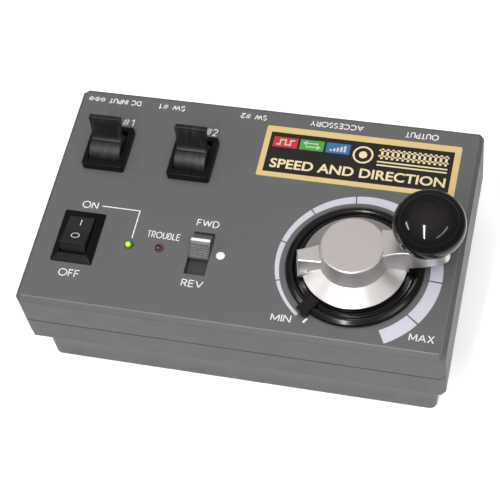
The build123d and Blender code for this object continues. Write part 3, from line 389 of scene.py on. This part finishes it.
# plain single-stroke capitals: advance width and centre lines, for a capital height of 1
LETTERS = {
    " ": (0.30, []),
    "#": (0.72, [[(0.12, 0), (0.28, 1)], [(0.42, 0), (0.58, 1)],
                 [(0, 0.33), (0.66, 0.33)], [(0.06, 0.67), (0.72, 0.67)]]),
    "1": (0.26, [[(0, 0.78), (0.24, 1), (0.24, 0)]]),
    "2": (0.54, [bow(0.27, 0.73, 0.26, 0.27, 170, -35) + [(0, 0), (0.54, 0)]]),
    "A": (0.80, [[(0, 0), (0.40, 1)], [(0.40, 1), (0.80, 0)], [(0.15, 0.33), (0.65, 0.33)]]),
    "B": (0.60, [[(0, 0), (0, 1)], [(0, 1)] + bow(0.24, 0.77, 0.27, 0.23, 90, -90) + [(0, 0.54)],
                 [(0.2, 0.54)] + bow(0.26, 0.27, 0.34, 0.27, 90, -90) + [(0, 0)]]),
    "C": (0.80, [bow(0.48, 0.5, 0.48, 0.5, 48, 312)]),
    "D": (0.70, [[(0, 0), (0, 1)], [(0, 1)] + bow(0.22, 0.5, 0.48, 0.5, 90, -90) + [(0, 0)]]),
    "E": (0.50, [[(0.50, 1), (0, 1), (0, 0), (0.50, 0)], [(0, 0.52), (0.45, 0.52)]]),
    "F": (0.48, [[(0.48, 1), (0, 1), (0, 0)], [(0, 0.52), (0.43, 0.52)]]),
    "I": (0.00, [[(0, 0), (0, 1)]]),
    "L": (0.45, [[(0, 1), (0, 0), (0.45, 0)]]),
    "M": (0.80, [[(0, 0), (0, 1)], [(0, 1), (0.40, 0.12)],
                 [(0.40, 0.12), (0.80, 1)], [(0.80, 1), (0.80, 0)]]),
    "N": (0.68, [[(0, 0), (0, 1)], [(0, 1), (0.68, 0)], [(0.68, 0), (0.68, 1)]]),
    "O": (0.96, [bow(0.48, 0.5, 0.48, 0.5, 0, 360)]),
    "P": (0.50, [[(0, 0), (0, 1)] + bow(0.25, 0.74, 0.25, 0.26, 90, -90) + [(0, 0.48)]]),
    "R": (0.54, [[(0, 0), (0, 1)] + bow(0.25, 0.74, 0.25, 0.26, 90, -90) + [(0, 0.48)],
                 [(0.24, 0.48), (0.54, 0)]]),
    "S": (0.50, [bow(0.26, 0.745, 0.23, 0.255, 35, 270) + bow(0.25, 0.245, 0.25, 0.245, 90, -145)]),
    "T": (0.60, [[(0, 1), (0.60, 1)], [(0.30, 1), (0.30, 0)]]),
    "U": (0.62, [[(0, 1)] + bow(0.31, 0.31, 0.31, 0.31, 180, 360) + [(0.62, 1)]]),
    "V": (0.72, [[(0, 1), (0.36, 0)], [(0.36, 0), (0.72, 1)]]),
    "W": (1.08, [[(0, 1), (0.27, 0)], [(0.27, 0), (0.54, 1)],
                 [(0.54, 1), (0.81, 0)], [(0.81, 0), (1.08, 1)]]),
    "X": (0.66, [[(0, 0), (0.64, 1)], [(0.02, 1), (0.66, 0)]]),
    "Y": (0.66, [[(0, 1), (0.33, 0.45)], [(0.66, 1), (0.33, 0.45)], [(0.33, 0.45), (0.33, 0)]]),
}
LETTER_GAP = 0.24
LABEL_LINE = 0.36           # line width of the panel labels
FINE_LINE = 0.30            # line width of the narrow label over the red light


def on_circle(centre, radius, angle):
    """A point on a circle; the angle is in radians."""
    return (centre[0] + radius * math.cos(angle), centre[1] + radius * math.sin(angle))


class Print:
    """Thin raised shapes on a flat face, in millimetres, gathered into one mesh."""

    def __init__(self, low, high):
        self.low, self.high = low, high
        self.mesh = bmesh.new()

    def strip(self, left, right):
        """A band between two lines of points with as many points each."""
        rows = []
        for a, b in zip(left, right):
            rows.append([self.mesh.verts.new((*p, z)) for z in (self.high, self.low) for p in (a, b)])
        for (a1, b1, a0, b0), (c1, d1, c0, d0) in zip(rows, rows[1:]):
            for face in ((a1, b1, d1, c1), (a0, c0, d0, b0), (a1, c1, c0, a0), (b1, b0, d0, d1)):
                self.mesh.faces.new(face)
        for a1, b1, a0, b0 in (rows[0], rows[-1]):
            self.mesh.faces.new((a1, a0, b0, b1))

    def bar(self, x0, x1, y0, y1):
        self.strip([(x0, y0), (x1, y0)], [(x0, y1), (x1, y1)])

    def line(self, start, end, width):
        a, b = Vector(start), Vector(end)
        side = (b - a).normalized().orthogonal() * width / 2
        self.strip([a + side, b + side], [a - side, b - side])

    def arc(self, centre, start, end, inner, outer, steps):
        """A band along an arc in degrees; inner and outer give the radii at an angle."""
        angles = [start + (end - start) * i / steps for i in range(steps + 1)]
        rim = []
        for radius in (inner, outer):
            rim.append([on_circle(centre, radius(a), math.radians(a)) for a in angles])
        self.strip(*rim)

    def disc(self, centre, radius, steps=40):
        ring = [on_circle(centre, radius, 2 * math.pi * i / steps) for i in range(steps)]
        top = [self.mesh.verts.new((*p, self.high)) for p in ring]
        bottom = [self.mesh.verts.new((*p, self.low)) for p in ring]
        self.mesh.faces.new(top)
        self.mesh.faces.new(bottom[::-1])
        for i in range(steps):
            j = (i + 1) % steps
            self.mesh.faces.new((top[i], bottom[i], bottom[j], top[j]))

    def stroke(self, points, width):
        """A band of even width along a line of points."""
        points = [Vector(p) for p in points]
        points = points[:1] + [p for p, before in zip(points[1:], points) if (p - before).length > 1e-4]
        runs = [(b - a).normalized() for a, b in zip(points, points[1:])]
        left, right = [], []
        for i, point in enumerate(points):
            before, after = runs[max(i - 1, 0)], runs[min(i, len(runs) - 1)]
            bisector = (before + after).normalized().orthogonal()
            reach = width / 2 / max(0.4, bisector.dot(before.orthogonal()))
            left.append(point + bisector * reach)
            right.append(point - bisector * reach)
        self.strip(left, right)

    def label(self, words, centre, height, width, line=LABEL_LINE, turned=False):
        """Single-stroke lettering fitted to a box; turned lettering reads from the rear."""
        advance = sum(LETTERS[letter][0] + LETTER_GAP for letter in words) - LETTER_GAP
        span, rise = width - line, height - line
        scale_x = span / advance
        way = -1.0 if turned else 1.0
        x = 0.0
        for letter in words:
            step, strokes = LETTERS[letter]
            for points in strokes:
                self.stroke([
                    (centre[0] + way * ((x + px) * scale_x - span / 2), centre[1] + way * (py - 0.5) * rise)
                    for px, py in points
                ], line)
            x += step + LETTER_GAP

    def text(self, words, centre, height, width, weight):
        """Heavy lettering fitted to a box."""
        curve = bpy.data.curves.new("lettering", "FONT")
        curve.body = words
        curve.offset = weight
        curve.extrude = 0.5
        curve.resolution_u = 4
        holder = bpy.data.objects.new("lettering", curve)
        scene.collection.objects.link(holder)
        bpy.context.view_layer.update()
        flat = bpy.data.meshes.new_from_object(holder)
        bpy.data.objects.remove(holder)
        bpy.data.curves.remove(curve)
        points = [v.co for v in flat.vertices]
        low = Vector([min(p[i] for p in points) for i in range(3)])
        size = Vector([max(p[i] for p in points) for i in range(3)]) - low
        scale = Matrix.Diagonal((width / size.x, height / size.y, (self.high - self.low) / size.z, 1.0))
        place = Matrix.Translation((*centre, (self.high + self.low) / 2))
        flat.transform(place @ scale @ Matrix.Translation(-(low + size / 2)))
        self.mesh.from_mesh(flat)
        bpy.data.meshes.remove(flat)

    def finish(self, name, material, body, drape_on=None, lift=0.02):
        bmesh.ops.remove_doubles(self.mesh, verts=self.mesh.verts, dist=1e-4)
        if drape_on:
            surface = BVHTree.FromObject(nodes[drape_on], bpy.context.evaluated_depsgraph_get())
            for vertex in self.mesh.verts:
                start = Vector((vertex.co.x * MM, vertex.co.y * MM, ABOVE_ALL))
                hit = surface.ray_cast(start, Vector((0, 0, -1)))[0]
                above = lift if vertex.co.z > (self.high + self.low) / 2 else -lift
                vertex.co.z = hit.z / MM + above
        bmesh.ops.recalc_face_normals(self.mesh, faces=self.mesh.faces)
        bmesh.ops.scale(self.mesh, vec=(MM, MM, MM), verts=self.mesh.verts)
        made = bpy.data.meshes.new(name)
        self.mesh.to_mesh(made)
        self.mesh.free()
        return piece(name, made, material, body)


white_ink = ink("white_ink", (0.62, 0.62, 0.63))
scale_ink = ink("scale_ink", (0.42, 0.42, 0.48))
black_ink = ink("black_ink", (0.006, 0.0055, 0.0055), 0.32, 0.1)
gold_ink = ink("gold_ink", (0.66, 0.56, 0.33), 0.42, 0.05, 0.2)
red_ink = ink("red_ink", (0.40, 0.022, 0.024), 0.35, 0.15)
green_ink = ink("green_ink", (0.05, 0.26, 0.045), 0.35, 0.15)
blue_ink = ink("blue_ink", (0.022, 0.11, 0.28), 0.35, 0.15)
mark_ink = ink("mark_ink", (0.45, 0.44, 0.42))
pale_ink = ink("pale_ink", (0.42, 0.42, 0.37))
label_ink = ink("label_ink", (0.05, 0.05, 0.055))

# labels, rule and dot on the control panel
panel = Print(PANEL_Z - 0.02, PANEL_Z + 0.03)
for words, centre, height, width, turned in (
    ("ON", (-58.25, -4.85), 3.0, 5.9, False),
    ("OFF", (-58.3, -33.3), 3.0, 7.6, False),
    ("TROUBLE", (-28.9, -13.5), 2.7, 12.0, False),
    ("FWD", (-14.4, -6.35), 2.9, 8.1, False),
    ("REV", (-14.35, -30.9), 2.8, 7.7, False),
    ("#1", (-54.0, 32.25), 3.2, 4.4, False),
    ("#2", (-22.2, 32.3), 3.2, 4.4, False),
    ("MIN", (18.6, -39.15), 3.0, 6.9, False),
    ("MAX", (66.2, -39.4), 3.0, 8.4, False),
    ("DC INPUT", (-57.6, 41.2), 2.3, 12.4, True),
    ("SW #1", (-39.35, 41.2), 2.3, 9.9, True),
    ("SW #2", (-8.4, 41.2), 2.3, 9.8, True),
    ("ACCESSORY", (22.35, 41.35), 2.4, 19.5, True),
    ("OUTPUT", (53.3, 41.1), 2.5, 12.0, True),
):
    line = FINE_LINE if words == "TROUBLE" else LABEL_LINE
    panel.label(words, centre, height, width, line=line, turned=turned)
panel.line((-53.8, -4.75), (-39.6, -4.75), 0.38)
panel.line((-39.8, -4.94), (-39.8, -16.1), 0.38)
panel.disc((-7.15, -18.55), 1.52)
panel.line((27.35, -38.05), (26.25, -39.75), 0.75)
# polarity mark of the supply: open ring and dot between a minus ring and a plus ring
panel.stroke(bow(-68.4, 41.2, 0.80, 0.80, 50, 310), 0.34)
panel.disc((-68.4, 41.2), 0.38, 16)
for ring_x in (-66.3, -70.8):
    panel.stroke(bow(ring_x, 41.2, 0.76, 0.76, 0, 360), 0.30)
    panel.line((ring_x - 0.42, 41.2), (ring_x + 0.42, 41.2), 0.26)
panel.line((-70.8, 40.78), (-70.8, 41.62), 0.26)
panel.line((-68.1, 41.2), (-67.0, 41.2), 0.34)
panel.line((-70.1, 41.2), (-69.1, 41.2), 0.34)
panel.finish("panel_printing", white_ink, "case")

# the band around the speed knob widens from MIN to MAX
scale = Print(PANEL_Z - 0.02, PANEL_Z + 0.03)
DIAL = (39.42, -15.98)
DIAL_INNER = 25.8
divisions = [233.5, 199.8, 166.2, 132.5, 99.0, 65.0, 31.0, -3.3, -36.8, -61.5]
for first, second in zip(divisions, divisions[1:]):
    gap_from = 0.0 if first == 233.5 else 0.55
    gap_to = 0.0 if second == -61.5 else 0.55
    scale.arc(
        DIAL, first - gap_from, second + gap_to, lambda a: DIAL_INNER,
        lambda a: DIAL_INNER + 1.1 + 0.0151 * max(0.0, 216.0 - a), 28,
    )
scale.finish("dial_scale", scale_ink, "case")

# nameplate: black field in a gold frame, colour blocks, a plain track motif and a caption
field = Print(PLATE_Z - 0.02, PLATE_Z + 0.02)
field.bar(-0.35, 66.0, 18.35, 35.55)
field.finish("nameplate_field", black_ink, "case")
for name, material, x0, x1 in (
    ("nameplate_block_red", red_ink, 1.05, 9.9),
    ("nameplate_block_green", green_ink, 10.8, 19.5),
    ("nameplate_block_blue", blue_ink, 20.35, 29.05),
):
    block = Print(PLATE_Z, PLATE_Z + 0.04)
    block.bar(x0, x1, 29.25, 33.65)
    block.finish(name, material, "case")
# plain marks on the colour blocks: pulses, two-way arrows, rising bars
signs = Print(PLATE_Z + 0.03, PLATE_Z + 0.06)
signs.stroke([
    (2.2, 30.4), (3.6, 30.4), (3.6, 32.5), (5.5, 32.5), (5.5, 30.4), (7.3, 30.4), (7.3, 32.5), (8.8, 32.5),
], 0.5)
for tip_x, tail_x, arrow_y in ((12.2, 17.4, 32.2), (18.1, 12.9, 30.7)):
    back = 1.1 if tail_x > tip_x else -1.1
    signs.line((tip_x + back * 0.6, arrow_y), (tail_x, arrow_y), 0.45)
    signs.stroke([(tip_x + back, arrow_y + 0.75), (tip_x, arrow_y), (tip_x + back, arrow_y - 0.75)], 0.4)
for step in range(5):
    signs.bar(21.8 + 1.25 * step, 22.6 + 1.25 * step, 30.1, 30.8 + 0.5 * step)
signs.finish("nameplate_block_signs", pale_ink, "case")
gold = Print(PLATE_Z, PLATE_Z + 0.04)
gold.text("SPEED AND DIRECTION", (33.1, 22.2), 4.0, 62.8, 0.022)
gold.arc((34.0, 30.0), 0.0, 360.0, lambda a: 3.0, lambda a: 3.7, 48)
gold.disc((34.0, 30.0), 1.5)
for rail_y in (30.1, 32.5):
    gold.bar(39.4, 64.4, rail_y, rail_y + 0.6)
for sleeper in range(13):
    sleeper_x = 40.2 + 1.9 * sleeper
    gold.bar(sleeper_x, sleeper_x + 0.9, 29.2, 33.7)
gold.bar(39.4, 64.4, 27.6, 28.2)
gold.bar(39.4, 64.4, 26.2, 26.8)
gold.finish("nameplate_lettering", gold_ink, "case")

# rocker marks
marks = Print(60.0, 61.0)
marks.bar(-58.68, -58.3, -15.6, -13.0)
marks.stroke(bow(-58.75, -20.3, 1.42, 1.12, 0, 360), 0.34)
marks.finish("rocker_marks", mark_ink, "rocker", drape_on="power_rocker")

# ruled border and plain lines on the rating label under the base
label_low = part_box("rating_label")[0].z / MM
rules = Print(label_low - 0.03, label_low + 0.02)
for border in (-13.2, 13.2):
    rules.bar(-30.2, 30.2, border - 0.25, border + 0.25)
for border in (-29.95, 29.95):
    rules.bar(border - 0.25, border + 0.25, -13.0, 13.0)
for rule_y, rule_end in ((8.4, 24.0), (4.2, 8.0), (0.0, 16.0), (-4.2, 2.0), (-8.4, 20.0)):
    rules.bar(-26.0, rule_end, rule_y - 0.45, rule_y + 0.45)
rules.finish("rating_label_rules", label_ink, "case")

# index line on the peak of the slide knob
index = Print(60.0, 61.0)
index.bar(-18.0, -11.2, -15.72, -14.58)
index.finish("slide_index_line", white_ink, "slider", drape_on="slide_knob")

# ---------------------------------------------------------------- floor, lights, camera
floor_mesh = bpy.data.meshes.new("floor")
reach = 6           # half the floor's side, in metres
corners = [(-reach, -reach, 0), (reach, -reach, 0), (reach, reach, 0), (-reach, reach, 0)]
floor_mesh.from_pydata(corners, [], [(0, 1, 2, 3)])
floor = bpy.data.objects.new("floor", floor_mesh)
scene.collection.objects.link(floor)
floor_graph = Graph("floor_white")
floor_graph.feed(
    floor_graph.shader.inputs["Base Color"],
    floor_graph.mix(floor_graph.noise(3.0), (0.71, 0.71, 0.71, 1.0), (0.73, 0.73, 0.73, 1.0)),
)
floor_graph.shader.inputs["Roughness"].default_value = 0.9
floor_graph.shader.inputs["Emission Color"].default_value = (1.0, 1.0, 1.0, 1.0)
floor_graph.shader.inputs["Emission Strength"].default_value = 0.42
floor_graph.shader.inputs["Specular IOR Level"].default_value = 0.1
floor_mesh.materials.append(floor_graph.material)
floor.visible_glossy = False

world = bpy.data.worlds.new("studio")
world.use_nodes = True
scene.world = world
backdrop = world.node_tree.nodes["Background"]
direction = world.node_tree.nodes.new("ShaderNodeTexCoord")
split = world.node_tree.nodes.new("ShaderNodeSeparateXYZ")
ramp = world.node_tree.nodes.new("ShaderNodeValToRGB")
world.node_tree.links.new(direction.outputs["Generated"], split.inputs[0])
height = world.node_tree.nodes.new("ShaderNodeMapRange")
height.inputs["From Min"].default_value = -1.0
world.node_tree.links.new(split.outputs["Z"], height.inputs["Value"])
world.node_tree.links.new(height.outputs["Result"], ramp.inputs["Fac"])
world.node_tree.links.new(ramp.outputs["Color"], backdrop.inputs["Color"])
# brightness by the height of a direction, from straight down to straight up
GROUND, DARK, HORIZON = (1.22, 1.19, 1.17), (0.11, 0.11, 0.11), (0.40, 0.40, 0.41)
SKY = (
    (-0.76, GROUND), (-0.62, (0.35, 0.35, 0.35)), (-0.50, DARK), (-0.05, DARK), (-0.01, HORIZON),
    (0.04, HORIZON), (0.10, (0.13, 0.13, 0.13)), (0.45, (0.22, 0.21, 0.205)),
    (0.75, (0.49, 0.45, 0.435)), (1.0, (0.70, 0.64, 0.61)),
)
stops = ramp.color_ramp.elements
stops.remove(stops[1])
stops[0].position = 0.0
stops[0].color = (*GROUND, 1.0)
for level, shade in SKY:
    stops.new((level + 1.0) / 2.0).color = (*shade, 1.0)
backdrop.inputs["Strength"].default_value = 1.0


BALL = Vector((0.064, -0.010, 0.071))


def strip_light(name, start, end, width, power):
    """A long lamp between two points, in metres from the ball, aimed at the object."""
    a, b = BALL + Vector(start), BALL + Vector(end)
    lamp = bpy.data.lights.new(name, "AREA")
    lamp.shape = "RECTANGLE"
    lamp.size = (b - a).length
    lamp.size_y = width
    lamp.energy = power
    made = bpy.data.objects.new(name, lamp)
    along = (b - a).normalized()
    away = (a + b) / 2 - Vector((0.0, 0.0, 0.04))
    away = (away - along * away.dot(along)).normalized()
    side = away.cross(along)
    turn = Matrix((along, side, away)).transposed().to_4x4()
    made.matrix_world = Matrix.Translation((a + b) / 2) @ turn
    made.visible_camera = False
    scene.collection.objects.link(made)


strip_light("key_strip", (-0.18, -0.24, 1.0), (-0.18, -1.55, 1.0), 0.075, 17.0)
strip_light("left_strip", (-1.0, -0.04, 0.52), (-1.0, -0.48, 0.62), 0.045, 1.7)
strip_light("right_strip", (1.33, -0.10, 1.0), (0.81, -1.37, 1.0), 0.045, 2.8)

# a wide overhead screen softens the shadows
screen = bpy.data.lights.new("overhead_screen", "AREA")
screen.shape = "RECTANGLE"
screen.size, screen.size_y = 3.2, 3.2
screen.energy = 43.0
screen.color = (0.975, 0.985, 1.0)
overhead = bpy.data.objects.new("overhead_screen", screen)
overhead.location = (0.7, 0.0, 2.2)
overhead.visible_camera = False
overhead.visible_glossy = False
scene.collection.objects.link(overhead)

camera_data = bpy.data.cameras.new("camera")
camera_data.lens = 110.4
camera_data.sensor_width = 36.0
camera_data.clip_end = 50.0
camera = bpy.data.objects.new("camera", camera_data)
camera_axes = Matrix((
    (0.97017, 0.21595, -0.11016),
    (-0.12878, 0.84408, 0.52053),
    (0.20539, -0.49082, 0.84671),
)).transposed().to_4x4()
camera.matrix_world = Matrix.Translation((0.111258, -0.274534, 0.496098)) @ camera_axes
scene.collection.objects.link(camera)
scene.camera = camera
scene.view_settings.view_transform = "Standard"

# ---------------------------------------------------------------- final update of the scene
bpy.context.view_layer.update()
